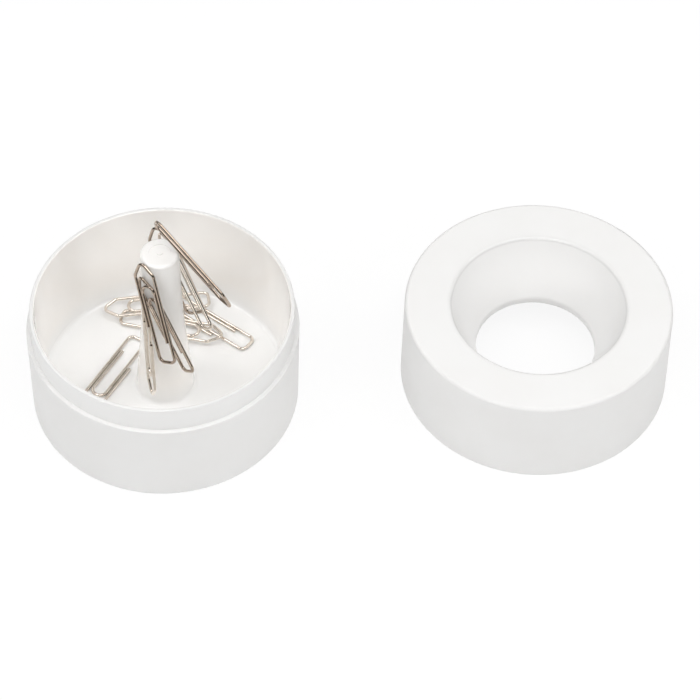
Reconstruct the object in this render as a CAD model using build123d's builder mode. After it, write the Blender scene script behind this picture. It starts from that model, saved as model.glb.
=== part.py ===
from build123d import *
import os
from math import cos, radians, sin, tan

os.makedirs("parts", exist_ok=True)

# Cup: a round tub with a stepped lip that the lid's skirt fits over. Heights are above the table.
cup_d = 70.0
ledge_z = 26.0
side_draft = 0.7
lip_step = 1.15
lip_h = 7.4
lip_wall = 1.1
inner_draft = 1.6
floor_t = 1.8
floor_round = 1.2
rim_round = 0.35
ledge_round = 0.3
foot_round = 0.3

# Foam pad stuck in the recess under the cup, standing a little proud of the foot rim.
pad_t = 1.0
pad_proud = 0.1
pad_gap = 0.3
foot_rim_w = 4.0

# Post in the middle of the cup, moulded with it and hollow from below.
post_h = 51.7
post_top_r = 4.9
post_waist_r = 5.55
post_foot_r = 7.6
post_waist_share = 0.5
post_foot_lean = 4.5
post_top_lean = 0.8
post_top_round = 0.7
post_foot_round = 1.0
post_top_t = 1.5
core_draft = 0.9
gate_r = 2.8
gate_depth = 0.2
gate_nub_r = 0.75

# Magnet at the top of the post, and the plug that holds it there.
magnet_r = 3.3
magnet_h = 22.0
magnet_gap = 0.2
magnet_chamfer = 0.3
plug_gap = 0.2
plug_wall = 1.3
flange_over = 2.6
flange_t = 1.1

# Lid: a skirt, a flat top ring and a funnel that leads to the post. It stands beside the cup.
lid_h = 26.55
lid_wall = 2.2
lid_top_t = 2.0
lid_x = 97.0
socket_gap = 0.2
socket_deeper = 0.3
funnel_top_r = 22.8
funnel_hole_r = 15.6
funnel_hole_z = 8.55
funnel_land_h = 2.0
funnel_wall = 1.8
lid_edge_round = 0.9
funnel_edge_round = 0.8
funnel_land_round = 2.0
funnel_hole_round = 0.2

# Paper clips, bent from round wire: a squared end, a pointed end and a round inner loop. Lengths are
# measured from where the sides of the point would meet if it were sharp.
wire_d = 0.85
clip_len = 29.2
clip_w = 6.7
leg_gap = 0.175
point_len = 3.9
inner_loop_from_tip = 7.4
inner_leg_short_of_end = 5.7
outer_leg_len = 18.5
end_round = 1.5
shoulder_round = 1.6
tip_round = 1.2
rest_gap = 0.06

# Where the tips of the clips on the post are: out from its side at the top, and down from its top.
front_left_out = 0.7
front_left_down = 0.0
front_low_out = 7.57
front_low_down = 42.2
front_right_out = 0.97
front_right_down = 5.7
top_out = 16.76
top_down = 7.2
back_right_out = 5.17
back_right_down = 3.22
back_out = 4.85
back_down = 0.9

# How far in from the foot of the wall the tips of the clips on the floor are.
floor_left_in = 7.83
pile_low_in = 3.2
pile_middle_in = 11.4
pile_high_in = 3.2

# How near an edge comes to the radius and height that it is looked up by.
same_edge = 0.01

cup_r = cup_d / 2
rim_z = ledge_z + lip_h
lip_r = cup_r - lip_step
rim_inner_r = lip_r - lip_wall
foot_r = cup_r - (ledge_z - pad_proud) * tan(radians(side_draft))
recess_z = pad_t
floor_top = recess_z + floor_t
floor_r = rim_inner_r - (rim_z - floor_top) * tan(radians(inner_draft))
recess_r = foot_r - foot_rim_w
post_top_z = floor_top + post_h
waist_z = floor_top + post_h * post_waist_share
core_top_z = post_top_z - post_top_t
core_top_r = magnet_r + magnet_gap
core_z = recess_z + flange_t
core_foot_r = core_top_r + (core_top_z - core_z) * tan(radians(core_draft))
flange_r = core_foot_r + flange_over
post_foot_way = (-sin(radians(post_foot_lean)), cos(radians(post_foot_lean)))
post_top_way = (-sin(radians(post_top_lean)), cos(radians(post_top_lean)))


def circles_at(part, radius, height):
    """The circular edges of a radius and height, about any upright axis."""
    found = []
    for edge in part.edges().filter_by(GeomType.CIRCLE):
        if abs(edge.radius - radius) < same_edge and abs(edge.arc_center.Z - height) < same_edge:
            found.append(edge)
    return found


with BuildPart() as cup:
    with BuildSketch(Plane.XZ):
        with BuildLine():
            Polyline(
                (0, recess_z),
                (recess_r, recess_z),
                (recess_r, pad_proud),
                (foot_r, pad_proud),
                (cup_r, ledge_z),
                (lip_r, ledge_z),
                (lip_r, rim_z),
                (rim_inner_r, rim_z),
                (floor_r, floor_top),
                (0, floor_top),
                close=True,
            )
        make_face()
    revolve(axis=Axis.Z)
    with BuildSketch(Plane.XZ):
        with BuildLine():
            Polyline((post_top_r, post_top_z), (0, post_top_z), (0, recess_z), (post_foot_r, recess_z))
            Line((post_foot_r, recess_z), (post_foot_r, floor_top))
            Spline(
                (post_foot_r, floor_top),
                (post_waist_r, waist_z),
                (post_top_r, post_top_z),
                tangents=(post_foot_way, post_top_way),
            )
        make_face()
    revolve(axis=Axis.Z)
    with BuildSketch(Plane.XZ):
        with BuildLine():
            Polyline(
                (0, recess_z),
                (flange_r + plug_gap, recess_z),
                (flange_r + plug_gap, core_z),
                (core_foot_r, core_z),
                (core_top_r, core_top_z),
                (0, core_top_z),
                close=True,
            )
        make_face()
    revolve(axis=Axis.Z, mode=Mode.SUBTRACT)
    with BuildSketch(Plane.XY.offset(post_top_z)):
        Circle(gate_r)
        Circle(gate_nub_r, mode=Mode.SUBTRACT)
    extrude(amount=-gate_depth, mode=Mode.SUBTRACT)
    fillet(circles_at(cup, post_top_r, post_top_z), post_top_round)
    fillet(circles_at(cup, post_foot_r, floor_top), post_foot_round)
    fillet(circles_at(cup, floor_r, floor_top), floor_round)
    fillet(circles_at(cup, rim_inner_r, rim_z) + circles_at(cup, lip_r, rim_z), rim_round)
    fillet(circles_at(cup, cup_r, ledge_z), ledge_round)
    fillet(circles_at(cup, foot_r, pad_proud), foot_round)
cup.part.label = "cup"
export_step(cup.part, "parts/cup.step")

with BuildPart() as base_pad:
    with BuildSketch(Plane.XY):
        Circle(recess_r - pad_gap)
    extrude(amount=pad_t)
base_pad.part.label = "base_pad"
export_step(base_pad.part, "parts/base_pad.step")

magnet_z = core_top_z - magnet_gap - magnet_h
with BuildPart() as magnet:
    with BuildSketch(Plane.XY.offset(magnet_z)):
        Circle(magnet_r)
    extrude(amount=magnet_h)
    chamfer(magnet.edges().filter_by(GeomType.CIRCLE), magnet_chamfer)
magnet.part.label = "magnet"
export_step(magnet.part, "parts/magnet.step")

plug_top_z = magnet_z - magnet_gap
plug_foot_r = core_foot_r - plug_gap
plug_top_r = plug_foot_r - (plug_top_z - core_z) * tan(radians(core_draft))
with BuildPart() as magnet_plug:
    with BuildSketch(Plane.XZ):
        with BuildLine():
            Polyline(
                (plug_foot_r - plug_wall, recess_z),
                (flange_r, recess_z),
                (flange_r, core_z),
                (plug_foot_r, core_z),
                (plug_top_r, plug_top_z),
                (0, plug_top_z),
                (0, plug_top_z - plug_wall),
                (plug_top_r - plug_wall, plug_top_z - plug_wall),
                close=True,
            )
        make_face()
    revolve(axis=Axis.Z)
magnet_plug.part.label = "magnet_plug"
export_step(magnet_plug.part, "parts/magnet_plug.step")

lid_r = cup_r
lid_top_r = lid_r - lid_h * tan(radians(side_draft))
socket_r = lip_r + socket_gap
socket_h = lip_h + socket_deeper
skirt_r = lid_r - lid_wall
skirt_top_r = lid_top_r - lid_wall
ring_z = lid_h - lid_top_t
funnel_land_z = funnel_hole_z + funnel_land_h
funnel_slope = (funnel_top_r - funnel_hole_r) / (lid_h - funnel_land_z)
funnel_under_r = funnel_hole_r + funnel_wall
with BuildPart() as lid:
    with BuildSketch(Plane.XZ.move(Location((lid_x, 0, 0)))):
        with BuildLine():
            Polyline(
                (socket_r, 0),
                (lid_r, 0),
                (lid_top_r, lid_h),
                (funnel_top_r, lid_h),
                (funnel_hole_r, funnel_land_z),
                (funnel_hole_r, funnel_hole_z),
                (funnel_under_r, funnel_hole_z),
                (funnel_under_r, funnel_land_z),
                (funnel_under_r + (ring_z - funnel_land_z) * funnel_slope, ring_z),
                (skirt_top_r, ring_z),
                (skirt_r, socket_h),
                (socket_r, socket_h),
                close=True,
            )
        make_face()
    revolve(axis=Axis((lid_x, 0, 0), (0, 0, 1)))
    fillet(circles_at(lid, lid_top_r, lid_h), lid_edge_round)
    fillet(circles_at(lid, funnel_top_r, lid_h), funnel_edge_round)
    fillet(circles_at(lid, funnel_hole_r, funnel_land_z), funnel_land_round)
    fillet(circles_at(lid, funnel_hole_r, funnel_hole_z), funnel_hole_round)
lid.part.label = "lid"
export_step(lid.part, "parts/lid.step")

outer_v = (clip_w - wire_d) / 2
inner_v = outer_v - wire_d - leg_gap
end_u = clip_len - wire_d


def clip_wire():
    """The clip's centreline in its own plane, along x from the pointed tip to the squared end."""
    loop_u = inner_loop_from_tip - wire_d / 2 + inner_v
    Line((end_u - inner_leg_short_of_end, -inner_v), (loop_u, -inner_v))
    ThreePointArc((loop_u, -inner_v), (loop_u - inner_v, 0), (loop_u, inner_v))
    FilletPolyline(
        (loop_u, inner_v),
        (end_u, inner_v),
        (end_u, -outer_v),
        (point_len, -outer_v),
        (0, 0),
        (point_len, outer_v),
        (outer_leg_len, outer_v),
        radius=(end_round, end_round, shoulder_round, tip_round, shoulder_round),
    )


# Clips held on the post: the tip's distance out and down, its bearing about the post, and the clip's
# roll, dip and turn, in degrees.
post_clips = {
    "clip_front_left": (front_left_out, front_left_down, 209, (-121, 61.5, -67)),
    "clip_front_low": (front_low_out, front_low_down, 253.2, (100.6, -76.9, 94.6)),
    "clip_front_right": (front_right_out, front_right_down, 203, (-90.5, 51.5, -51)),
    "clip_top": (top_out, top_down, -37.6, (-108.5, -29.5, 136)),
    "clip_back_right": (back_right_out, back_right_down, 88.9, (-94.2, 48.6, -54.8)),
    "clip_back": (back_out, back_down, 96, (-115, 65, -40)),
}

# Clips lying on the floor: the tip's distance in from the wall, its bearing, how many wires it lies
# above the floor, and the clip's roll, dip and turn, in degrees.
floor_clips = {
    "clip_floor_left": (floor_left_in, 202.7, 0.0, (180, 0, 55.5)),
    "clip_pile_low": (pile_low_in, 88.6, 0.0, (180, 0, 319)),
    "clip_pile_middle": (pile_middle_in, 38.7, 1.6, (0, 2.5, 161.5)),
    "clip_pile_high": (pile_high_in, 123.2, 1.65, (0, 0, 4.5)),
}

places = {}
for name, (out, down, bearing, angles) in post_clips.items():
    reach = post_top_r + out
    tip = (reach * cos(radians(bearing)), reach * sin(radians(bearing)), post_top_z - down)
    places[name] = Location(tip, angles, Extrinsic.XYZ)
for name, (inset, bearing, wires_up, angles) in floor_clips.items():
    reach = floor_r - inset
    height = floor_top + rest_gap + wire_d / 2 + wires_up * wire_d
    tip = (reach * cos(radians(bearing)), reach * sin(radians(bearing)), height)
    places[name] = Location(tip, angles, Extrinsic.XYZ)

for name, place in places.items():
    with BuildPart() as clip:
        with BuildLine(Plane(place)) as path:
            clip_wire()
        bend = path.wires()[0]
        with BuildSketch(Plane(origin=bend @ 0, z_dir=bend % 0)):
            Circle(wire_d / 2)
        sweep(path=bend)
    clip.part.label = name
    export_step(clip.part, "parts/" + name + ".step")
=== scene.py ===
from math import cos, pi, radians, sin, tau

import bmesh
import bpy
from mathutils import Matrix, Vector


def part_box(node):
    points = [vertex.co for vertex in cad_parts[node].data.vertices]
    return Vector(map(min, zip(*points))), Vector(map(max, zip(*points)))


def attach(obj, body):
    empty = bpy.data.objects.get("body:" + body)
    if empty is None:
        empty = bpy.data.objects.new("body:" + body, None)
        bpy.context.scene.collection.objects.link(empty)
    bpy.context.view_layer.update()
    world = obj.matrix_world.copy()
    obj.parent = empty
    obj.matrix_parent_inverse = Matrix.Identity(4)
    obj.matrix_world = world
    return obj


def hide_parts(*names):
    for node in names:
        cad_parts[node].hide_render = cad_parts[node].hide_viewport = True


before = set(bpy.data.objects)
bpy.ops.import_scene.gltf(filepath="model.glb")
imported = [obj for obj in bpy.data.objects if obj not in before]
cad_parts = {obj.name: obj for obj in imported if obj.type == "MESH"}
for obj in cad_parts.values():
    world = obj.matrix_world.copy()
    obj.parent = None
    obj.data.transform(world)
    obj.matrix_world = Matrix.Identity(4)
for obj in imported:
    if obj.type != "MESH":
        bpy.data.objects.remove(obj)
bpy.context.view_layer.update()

# The photograph's view: angles in degrees, lens and sensor in millimetres, all else in metres.
VIEW_TARGET = Vector((0.04813, -0.00164, 0.01393))
VIEW_AZIMUTH = -5.43
VIEW_ELEVATION = 51.03
VIEW_ROLL = 1.28
VIEW_DISTANCE = 0.8552
VIEW_LENS = 169.25
VIEW_SENSOR = 36.0
VIEW_NEAR = 0.05
VIEW_FAR = 20.0

# The room is brightest one way. The edge says, as a cosine, where it turns from dim to bright.
BRIGHT_WAY = (0.0, 0.45, 0.893)
BRIGHT_EDGE = (0.42, 0.80)
ROOM_DIM = 0.02
ROOM_BRIGHT = 0.42
ROOM_TINT = (1.0, 0.99, 0.98, 1.0)

# Places in metres where the cup's painted light and shade and its polish change. A pair says where a
# change begins and ends.
LIP_START = (0.0260, 0.0264)
RIM_START = (0.0329, 0.0333)
WALL_START = (0.0030, 0.0100)
POST_START = (0.0100, 0.0300)
POST_RADIUS = (0.0085, 0.0090)
INSIDE_RADIUS = (0.03285, 0.03305)
FLOOR_UNDERSIDE = 0.0020

# Places in metres where the lid's painted shade, painted light and polish change, with radii from its
# axis.
lid_low, lid_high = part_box("lid")
LID_AXIS_X = (lid_low.x + lid_high.x) / 2
LID_TOP_START = (0.0256, 0.0260)
LID_OUTER_EDGE = (0.0338, 0.0342)
LID_INNER_EDGE = (0.0233, 0.0239)
FUNNEL_HEIGHT = (0.0084, 0.0264)
FUNNEL_RADIUS = (0.0157, 0.0230)
FUNNEL_SKIN = (0.0002, 0.0006)
FUNNEL_POLISH = 0.3

WHITE = (0.780, 0.777, 0.770)
WHITE_SHADED = (0.768, 0.763, 0.754)
# Painted light: the lip above the ledge is lighter, standing in for light that comes through its thin
# wall.
LIP_PAINTED_LIGHT = (0.808, 0.805, 0.797)
# Painted shade: the cup's rim and the lid's top edges are darker, to tone down the highlights the lamps
# give them.
EDGE_PAINTED_SHADE = (0.738, 0.734, 0.726)
# Painted light: the cup's inner floor, wall and post are whiter than its outside, standing in for light
# that comes through the thin walls and bounces in the cup; the wall's warmer tint stands in for the
# same light.
FLOOR_PAINTED_LIGHT = (0.950, 0.951, 0.946)
WALL_PAINTED_LIGHT = (0.975, 0.954, 0.928)
POST_PAINTED_LIGHT = (0.852, 0.839, 0.820)
# Painted light: the lid's funnel is whiter than the rest of the lid, standing in for light in its
# hollow.
FUNNEL_PAINTED_LIGHT = (0.836, 0.831, 0.822)
PLASTIC_ROUGHNESS = (0.44, 0.58)
POLISHED_ROUGHNESS = (0.015, 0.06)
PLASTIC_REFRACTION = 1.5
SPECK = (0.60, 0.58, 0.54)
SPECK_SIZE = (0.06, 0.13)
SPECK_SHARE = 0.04

NICKEL = (0.80, 0.735, 0.665)
NICKEL_DULL = (0.66, 0.58, 0.505)
# Painted reflection: a darker nickel for the clips that mirror the dim room, standing in for those dark
# reflections.
DARK_REFLECTION_NICKEL = (0.50, 0.42, 0.35)
DARK_REFLECTION_NICKEL_DULL = (0.39, 0.315, 0.255)
DARK_REFLECTION_CLIPS = ("clip_front_left", "clip_front_right", "clip_top", "clip_back")
WIRE_ROUGHNESS = (0.03, 0.09)

FOAM = (0.095, 0.095, 0.100)
FOAM_PORE = (0.045, 0.045, 0.048)
FOAM_ROUGHNESS = (0.95, 0.80)
FOAM_EDGE = 0.00035
FOAM_EDGE_STEPS = 8
FOAM_SIDES = 96
SAME_PLACE = 0.000001

PLUG_GREY = (0.52, 0.52, 0.50)
PLUG_GREY_SHADED = (0.44, 0.44, 0.42)
PLUG_ROUGHNESS = (0.38, 0.55)
MAGNET_PLATING = (0.55, 0.54, 0.52)
MAGNET_WORN = (0.32, 0.31, 0.30)
MAGNET_ROUGHNESS = (0.22, 0.42)

TABLE_WHITE = (0.93, 0.93, 0.93)
TABLE_WHITE_PALE = (0.95, 0.95, 0.95)
TABLE_UNSEEN = (0.85, 0.85, 0.85)
TABLE_ROUGHNESS = 0.9
TABLE_SHINE = 0.1
TABLE_GLOW = (1.0, 1.0, 1.0, 1.0)
TABLE_GLOW_SHARE = 0.90
TABLE_SIZE = 10.0
TABLE_HEIGHT = -0.0001

# The Mix node's sockets share their names, so they are told apart by number.
MIX_SHARE = 0
MIX_VALUES = (2, 3)
MIX_COLOURS = (6, 7)
MIXED_VALUE = 0
MIXED_COLOUR = 2


def new_material(name):
    """A node material, with its tree and its shader."""
    made = bpy.data.materials.new(name)
    made.use_nodes = True
    return made, made.node_tree, made.node_tree.nodes["Principled BSDF"]


def is_output(value):
    return isinstance(value, bpy.types.NodeSocket)


def add(tree, kind, inputs, **settings):
    """A node with its settings made, and each input set to a value or joined to an output."""
    node = tree.nodes.new("ShaderNode" + kind)
    for name, value in settings.items():
        setattr(node, name, value)
    for socket, value in inputs.items():
        if is_output(value):
            tree.links.new(value, node.inputs[socket])
        else:
            node.inputs[socket].default_value = value
    return node


def join(tree, output, shader, socket):
    tree.links.new(output, shader.inputs[socket])


def object_place(tree):
    """Places on the piece in its own frame, so that a pattern moves with the piece."""
    return add(tree, "TexCoord", {}).outputs["Object"]


def round_place(tree, place, axis_x):
    """The distance from an upright axis, and the height."""
    axes = add(tree, "SeparateXYZ", {"Vector": place})
    across = calculate(tree, "SUBTRACT", axes.outputs["X"], axis_x)
    flat = add(tree, "CombineXYZ", {"X": across, "Y": axes.outputs["Y"]})
    radius = add(tree, "VectorMath", {0: flat.outputs[0]}, operation="LENGTH").outputs["Value"]
    return radius, axes.outputs["Z"]


def noise(tree, place, scale, detail=2.0, roughness=0.5):
    inputs = {"Vector": place, "Scale": scale, "Detail": detail, "Roughness": roughness}
    return add(tree, "TexNoise", inputs).outputs["Fac"]


def calculate(tree, operation, first, second):
    return add(tree, "Math", {0: first, 1: second}, operation=operation).outputs[0]


def spread(tree, value, span, result, smooth=False):
    """A value moved from one range to another, held at the ends."""
    inputs = {
        "Value": value,
        "From Min": span[0],
        "From Max": span[1],
        "To Min": result[0],
        "To Max": result[1],
    }
    form = "SMOOTHSTEP" if smooth else "LINEAR"
    return add(tree, "MapRange", inputs, interpolation_type=form).outputs["Result"]


def rise(tree, value, span, smooth=False):
    """0 before the span, 1 after it."""
    return spread(tree, value, span, (0.0, 1.0), smooth)


def fall(tree, value, span, smooth=False):
    """1 before the span, 0 after it."""
    return spread(tree, value, span, (1.0, 0.0), smooth)


def mix_colour(tree, share, first, second):
    """The first colour where the share is 0, the second where it is 1."""
    inputs = {MIX_SHARE: share}
    for socket, colour in zip(MIX_COLOURS, (first, second)):
        inputs[socket] = colour if is_output(colour) else (*colour, 1.0)
    return add(tree, "Mix", inputs, data_type="RGBA").outputs[MIXED_COLOUR]


def mix_value(tree, share, first, second):
    """The first value where the share is 0, the second where it is 1."""
    inputs = {MIX_SHARE: share, MIX_VALUES[0]: first, MIX_VALUES[1]: second}
    return add(tree, "Mix", inputs).outputs[MIXED_VALUE]


def bump(tree, height, distance, strength=1.0, below=None):
    """Relief in the surface, on top of the relief below it where there is one."""
    inputs = {"Height": height, "Distance": distance, "Strength": strength}
    if below is not None:
        inputs["Normal"] = below
    return add(tree, "Bump", inputs).outputs["Normal"]


def specks(tree, place, scale, rarity):
    """Sparse small marks, 1 in a mark and 0 elsewhere."""
    cells = add(tree, "TexVoronoi", {"Vector": place, "Scale": scale})
    dot = fall(tree, cells.outputs["Distance"], SPECK_SIZE)
    pick = add(tree, "SeparateColor", {"Color": cells.outputs["Color"]}).outputs[0]
    return calculate(tree, "MULTIPLY", dot, calculate(tree, "GREATER_THAN", pick, rarity))


def cup_surface(tree, place, shaded):
    """The cup's colour, with painted light inside and on the lip and painted shade at the rim, and its
    polish: 1 on the inside and the post, 0 outside and below.
    """
    radius, height = round_place(tree, place, 0.0)
    outside = mix_colour(tree, shaded, WHITE, WHITE_SHADED)
    # Painted light on the lip, standing in for light through its thin wall.
    outside = mix_colour(tree, rise(tree, height, LIP_START), outside, LIP_PAINTED_LIGHT)
    # Painted shade on the rim, toning down its highlight.
    outside = mix_colour(tree, rise(tree, height, RIM_START), outside, EDGE_PAINTED_SHADE)
    # Painted light inside the cup: a whiter floor, and a whiter, warmer wall.
    inside = mix_colour(tree, rise(tree, height, WALL_START), FLOOR_PAINTED_LIGHT, WALL_PAINTED_LIGHT)
    slim = fall(tree, radius, POST_RADIUS)
    post = calculate(tree, "MULTIPLY", slim, rise(tree, height, POST_START))
    # Painted light on the post: whiter than the outside, less so than the floor.
    inside = mix_colour(tree, post, inside, POST_PAINTED_LIGHT)
    within = fall(tree, radius, INSIDE_RADIUS)
    above = calculate(tree, "GREATER_THAN", height, FLOOR_UNDERSIDE)
    polish = calculate(tree, "MULTIPLY", within, above)
    return mix_colour(tree, polish, outside, inside), polish


def lid_surface(tree, place, shaded):
    """The lid's colour, with painted light in the funnel and painted shade at its top edges, and its
    polish: a little in the funnel, 0 elsewhere.
    """
    radius, height = round_place(tree, place, LID_AXIS_X)
    outer = rise(tree, radius, LID_OUTER_EDGE)
    inner = fall(tree, radius, LID_INNER_EDGE)
    rims = calculate(tree, "MAXIMUM", outer, inner)
    edges = calculate(tree, "MULTIPLY", rims, rise(tree, height, LID_TOP_START))
    cone = spread(tree, height, FUNNEL_HEIGHT, FUNNEL_RADIUS)
    funnel = fall(tree, calculate(tree, "SUBTRACT", radius, cone), FUNNEL_SKIN)
    tint = mix_colour(tree, shaded, WHITE, WHITE_SHADED)
    # Painted light in the funnel, standing in for light in its hollow.
    tint = mix_colour(tree, funnel, tint, FUNNEL_PAINTED_LIGHT)
    # Painted shade on the lid's outer and funnel top edges, toning down their highlights.
    tint = mix_colour(tree, edges, tint, EDGE_PAINTED_SHADE)
    return tint, calculate(tree, "MULTIPLY", funnel, FUNNEL_POLISH)


def white_plastic(name, surface):
    """White moulded plastic with a fine eroded grain, coloured and polished as the surface says."""
    made, tree, shader = new_material(name)
    place = object_place(tree)
    cloud = noise(tree, place, scale=55.0, detail=3.0)
    grain = noise(tree, place, scale=3200.0, detail=3.0, roughness=0.6)
    scuff = noise(tree, place, scale=240.0, detail=4.0)
    haze = noise(tree, place, scale=120.0, detail=4.0)
    wave = noise(tree, place, scale=38.0, detail=1.0)
    tint, polish = surface(tree, place, rise(tree, cloud, (0.35, 0.65), smooth=True))
    rough = spread(tree, scuff, (0.3, 0.7), PLASTIC_ROUGHNESS)
    smooth = spread(tree, haze, (0.35, 0.7), POLISHED_ROUGHNESS)
    grain = calculate(tree, "MULTIPLY", grain, calculate(tree, "SUBTRACT", 1.0, polish))
    ripple = bump(tree, wave, distance=0.0006, strength=0.25)
    relief = bump(tree, grain, distance=0.00004, strength=0.55, below=ripple)
    marks = specks(tree, place, scale=180.0, rarity=0.95)
    marks = calculate(tree, "MULTIPLY", marks, SPECK_SHARE)
    join(tree, mix_colour(tree, marks, tint, SPECK), shader, "Base Color")
    join(tree, mix_value(tree, polish, rough, smooth), shader, "Roughness")
    join(tree, relief, shader, "Normal")
    shader.inputs["IOR"].default_value = PLASTIC_REFRACTION
    return made


def nickel_wire(name, clean, dulled):
    """Drawn steel wire with a warm nickel plating, dulled in patches."""
    made, tree, shader = new_material(name)
    place = object_place(tree)
    patches = noise(tree, place, scale=420.0, detail=4.0, roughness=0.65)
    drawn = noise(tree, place, scale=5200.0)
    dull = rise(tree, patches, (0.5, 0.75), smooth=True)
    join(tree, mix_colour(tree, dull, clean, dulled), shader, "Base Color")
    join(tree, spread(tree, patches, (0.3, 0.75), WIRE_ROUGHNESS), shader, "Roughness")
    join(tree, bump(tree, drawn, distance=0.000006, strength=0.4), shader, "Normal")
    shader.inputs["Metallic"].default_value = 1.0
    return made


def foam():
    """Dark foam rubber with fine pores."""
    made, tree, shader = new_material("pad_foam")
    place = object_place(tree)
    cells = add(tree, "TexVoronoi", {"Vector": place, "Scale": 1500.0}).outputs["Distance"]
    pore = fall(tree, cells, (0.15, 0.55), smooth=True)
    join(tree, mix_colour(tree, pore, FOAM, FOAM_PORE), shader, "Base Color")
    join(tree, spread(tree, cells, (0.0, 0.7), FOAM_ROUGHNESS), shader, "Roughness")
    join(tree, bump(tree, cells, distance=0.00015, strength=0.8), shader, "Normal")
    return made


def plug_plastic():
    """Plain grey plastic, not seen in use."""
    made, tree, shader = new_material("plug_plastic")
    place = object_place(tree)
    cloud = noise(tree, place, scale=160.0, detail=4.0)
    grain = noise(tree, place, scale=2600.0)
    join(tree, mix_colour(tree, cloud, PLUG_GREY, PLUG_GREY_SHADED), shader, "Base Color")
    join(tree, spread(tree, cloud, (0.3, 0.7), PLUG_ROUGHNESS), shader, "Roughness")
    join(tree, bump(tree, grain, distance=0.00003, strength=0.5), shader, "Normal")
    return made


def magnet_plating():
    """Nickel plating over a sintered magnet, rubbed at random."""
    made, tree, shader = new_material("magnet_plating")
    place = object_place(tree)
    patches = noise(tree, place, scale=600.0, detail=5.0, roughness=0.7)
    rubbed = rise(tree, patches, (0.45, 0.7), smooth=True)
    join(tree, mix_colour(tree, rubbed, MAGNET_PLATING, MAGNET_WORN), shader, "Base Color")
    join(tree, spread(tree, rubbed, (0.0, 1.0), MAGNET_ROUGHNESS), shader, "Roughness")
    join(tree, bump(tree, rubbed, distance=0.00002, strength=0.4), shader, "Normal")
    shader.inputs["Metallic"].default_value = 1.0
    return made


def dress(node, finish):
    """Gives a piece one finish all over."""
    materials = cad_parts[node].data.materials
    materials.clear()
    materials.append(finish)


def foam_disc(finish):
    """The foam under the cup: flat where it rests and where it is glued, rounded at its cut edge."""
    low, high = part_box("base_pad")
    radius = (high.x - low.x) / 2
    half = (high.z - low.z) / 2
    turns = [pi * (step / FOAM_EDGE_STEPS - 0.5) for step in range(FOAM_EDGE_STEPS + 1)]
    edge = [(radius - FOAM_EDGE * (1.0 - cos(turn)), half * sin(turn)) for turn in turns]
    profile = [(0.0, -half), *edge, (0.0, half)]
    shape = bmesh.new()
    points = [shape.verts.new((across, 0.0, height)) for across, height in profile]
    lines = [shape.edges.new(pair) for pair in zip(points, points[1:])]
    bmesh.ops.spin(
        shape,
        geom=points + lines,
        cent=(0.0, 0.0, 0.0),
        axis=(0.0, 0.0, 1.0),
        angle=tau,
        steps=FOAM_SIDES,
        use_merge=True,
    )
    bmesh.ops.remove_doubles(shape, verts=shape.verts, dist=SAME_PLACE)
    bmesh.ops.recalc_face_normals(shape, faces=shape.faces)
    mesh = bpy.data.meshes.new("base_foam")
    shape.to_mesh(mesh)
    shape.free()
    mesh.materials.append(finish)
    piece = bpy.data.objects.new("base_foam", mesh)
    piece.location = (low + high) / 2
    bpy.context.collection.objects.link(piece)
    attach(piece, "holder")
    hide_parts("base_pad")


def pale_floor():
    """A table that looks white to the camera and in reflections, and keeps the object's shadow."""
    made, tree, shader = new_material("table")
    path = add(tree, "LightPath", {})
    seen = calculate(tree, "MAXIMUM", path.outputs["Is Camera Ray"], path.outputs["Is Glossy Ray"])
    seen = calculate(tree, "MAXIMUM", seen, path.outputs["Is Transmission Ray"])
    cloud = noise(tree, object_place(tree), scale=3.0)
    white = mix_colour(tree, cloud, TABLE_WHITE, TABLE_WHITE_PALE)
    join(tree, mix_colour(tree, seen, TABLE_UNSEEN, white), shader, "Base Color")
    shader.inputs["Roughness"].default_value = TABLE_ROUGHNESS
    shader.inputs["Specular IOR Level"].default_value = TABLE_SHINE
    glow = add(tree, "Emission", {"Color": TABLE_GLOW, "Strength": 1.0})
    share = calculate(tree, "MULTIPLY", seen, TABLE_GLOW_SHARE)
    both = add(tree, "MixShader", {0: share, 1: shader.outputs[0], 2: glow.outputs[0]})
    join(tree, both.outputs[0], tree.nodes["Material Output"], "Surface")
    bpy.ops.mesh.primitive_plane_add(size=TABLE_SIZE, location=(0.0, 0.0, TABLE_HEIGHT))
    table = bpy.context.object
    table.name = "table"
    table.data.materials.append(made)


def room_light():
    """A room that is bright above and behind the object, and dim towards the camera and the horizon."""
    world = bpy.data.worlds.new("room")
    world.use_nodes = True
    tree = world.node_tree
    way = add(tree, "TexCoord", {}).outputs["Generated"]
    towards = add(tree, "VectorMath", {0: way, 1: BRIGHT_WAY}, operation="DOT_PRODUCT").outputs["Value"]
    glow = spread(tree, towards, BRIGHT_EDGE, (ROOM_DIM, ROOM_BRIGHT), smooth=True)
    sky = tree.nodes["Background"]
    sky.inputs["Color"].default_value = ROOM_TINT
    join(tree, glow, sky, "Strength")
    bpy.context.scene.world = world


def softbox(name, place, size, watts, mirrored=True):
    """A soft lamp aimed at the object. One that isn't mirrored fills the shade without reflections."""
    lamp = bpy.data.lights.new(name, "AREA")
    lamp.shape = "RECTANGLE"
    lamp.size, lamp.size_y = size
    lamp.energy = watts
    made = bpy.data.objects.new(name, lamp)
    made.location = place
    made.rotation_euler = (VIEW_TARGET - Vector(place)).to_track_quat("-Z", "Y").to_euler()
    made.visible_camera = False
    made.visible_glossy = mirrored
    bpy.context.collection.objects.link(made)


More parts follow.
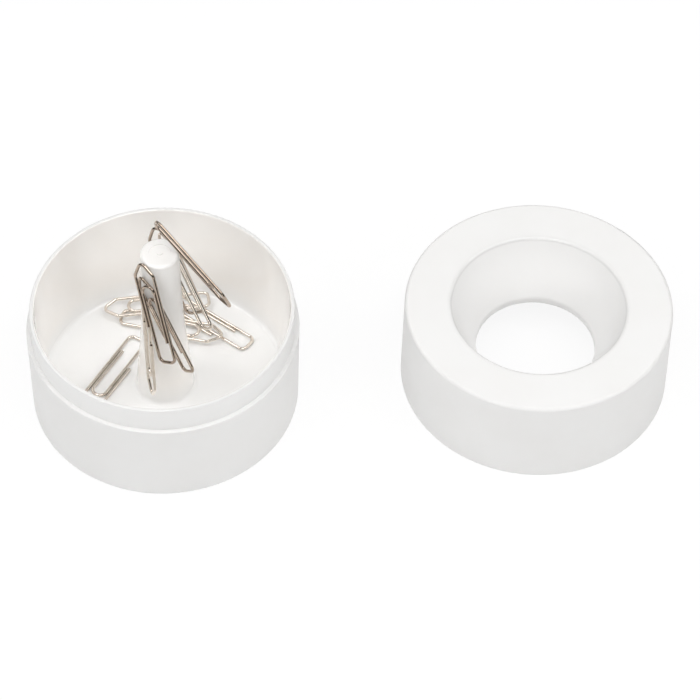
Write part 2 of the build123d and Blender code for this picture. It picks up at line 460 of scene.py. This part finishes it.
def photo_camera():
    """A camera that sees the object as the photograph does."""
    azimuth = radians(VIEW_AZIMUTH)
    elevation = radians(VIEW_ELEVATION)
    roll = radians(VIEW_ROLL)
    back = Vector((sin(azimuth) * cos(elevation), -cos(azimuth) * cos(elevation), sin(elevation)))
    right = Vector((cos(azimuth), sin(azimuth), 0.0))
    up = back.cross(right)
    across = right * cos(roll) + up * sin(roll)
    turned = Matrix((across, back.cross(across), back)).transposed()
    lens = bpy.data.cameras.new("photo_view")
    lens.lens = VIEW_LENS
    lens.sensor_width = VIEW_SENSOR
    lens.clip_start = VIEW_NEAR
    lens.clip_end = VIEW_FAR
    camera = bpy.data.objects.new("photo_view", lens)
    camera.matrix_world = Matrix.Translation(VIEW_TARGET + back * VIEW_DISTANCE) @ turned.to_4x4()
    bpy.context.collection.objects.link(camera)
    bpy.context.scene.camera = camera


bright_wire = nickel_wire("bright_wire", NICKEL, NICKEL_DULL)
# Painted reflection: the darker wire stands in for the dim room that these clips mirror.
dark_reflection_wire = nickel_wire("dark_reflection_wire", DARK_REFLECTION_NICKEL, DARK_REFLECTION_NICKEL_DULL)
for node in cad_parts:
    if node.startswith("clip_"):
        dress(node, dark_reflection_wire if node in DARK_REFLECTION_CLIPS else bright_wire)
dress("cup", white_plastic("cup_plastic", cup_surface))
dress("lid", white_plastic("lid_plastic", lid_surface))
foam_disc(foam())
dress("magnet_plug", plug_plastic())
dress("magnet", magnet_plating())

pale_floor()
room_light()
softbox("front_top_softbox", place=(0.05, -0.40, 1.05), size=(0.5, 0.4), watts=2.5)
softbox("left_top_softbox", place=(-0.45, 0.0, 1.0), size=(0.4, 0.5), watts=2.4)
softbox("right_top_softbox", place=(0.55, 0.0, 1.0), size=(0.4, 0.5), watts=2.4)
softbox("left_side_softbox", place=(-1.05, 0.05, 0.70), size=(0.9, 0.9), watts=3.4, mirrored=False)
softbox("right_side_softbox", place=(1.15, 0.05, 0.70), size=(0.9, 0.9), watts=2.5, mirrored=False)
softbox("front_left_softbox", place=(-0.62, -0.75, 0.80), size=(0.6, 0.6), watts=3.5, mirrored=False)
softbox("front_right_softbox", place=(0.72, -0.75, 0.80), size=(0.6, 0.6), watts=3.7, mirrored=False)
softbox("low_softbox", place=(0.10, -1.18, 0.43), size=(0.5, 0.3), watts=1.5)
photo_camera()
bpy.context.scene.view_settings.view_transform = "Standard"
